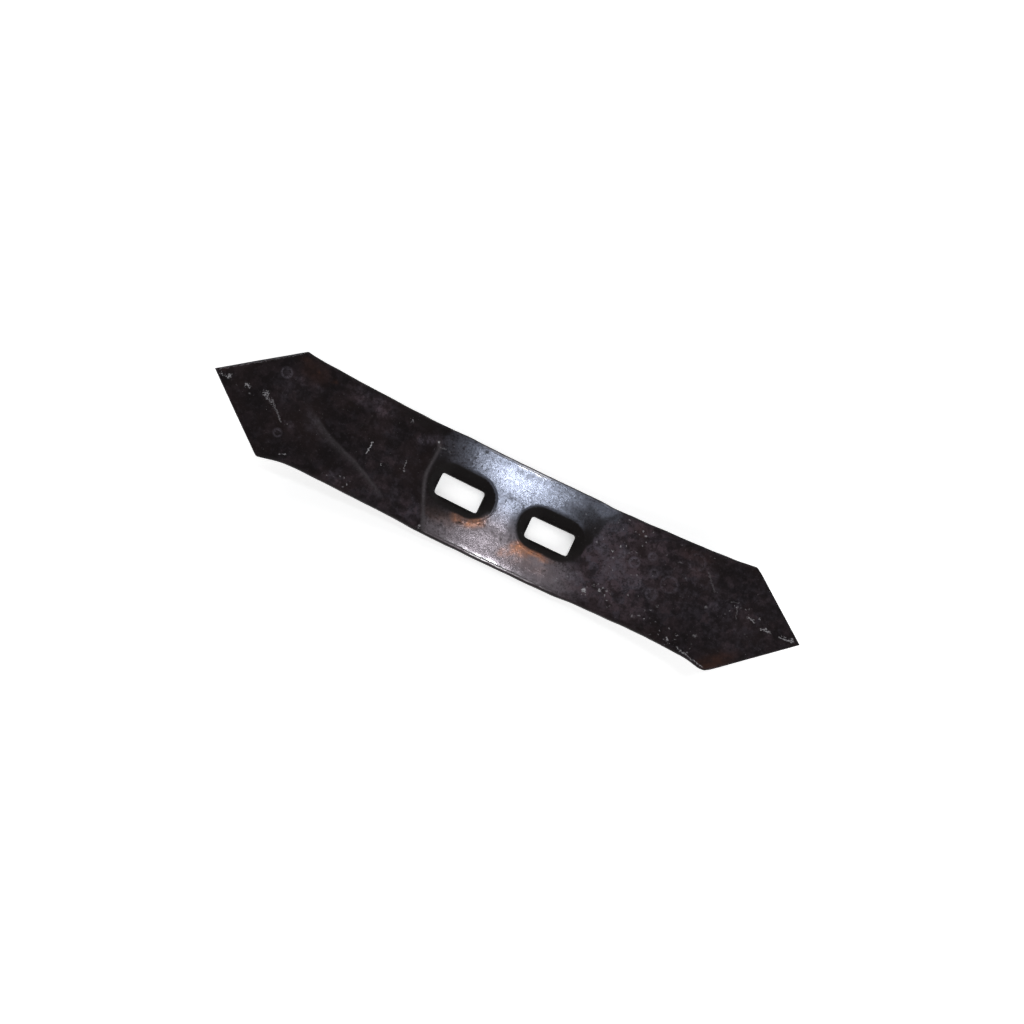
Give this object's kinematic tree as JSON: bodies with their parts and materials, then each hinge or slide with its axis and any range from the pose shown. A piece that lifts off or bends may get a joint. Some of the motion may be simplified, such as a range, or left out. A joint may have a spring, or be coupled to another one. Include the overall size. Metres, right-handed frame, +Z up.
{
  "type": "cultivator point",
  "caption": "Bowed flat forged steel blade for a field cultivator shank, with a bevelled point at each end and countersunk slots in its middle for plow bolts.",
  "frame": {"origin": "lowest point of the rounded back, midway between the two bolt slots", "axes": "+X along the blade, +Y across it, +Z up out of the hollow front face"},
  "size_m": [0.3146, 0.057, 0.0318],
  "materials": {
    "forged_steel": "satin"
  },
  "bodies": {
    "root": {"point_blade": "forged_steel"}
  },
  "joints": []
}
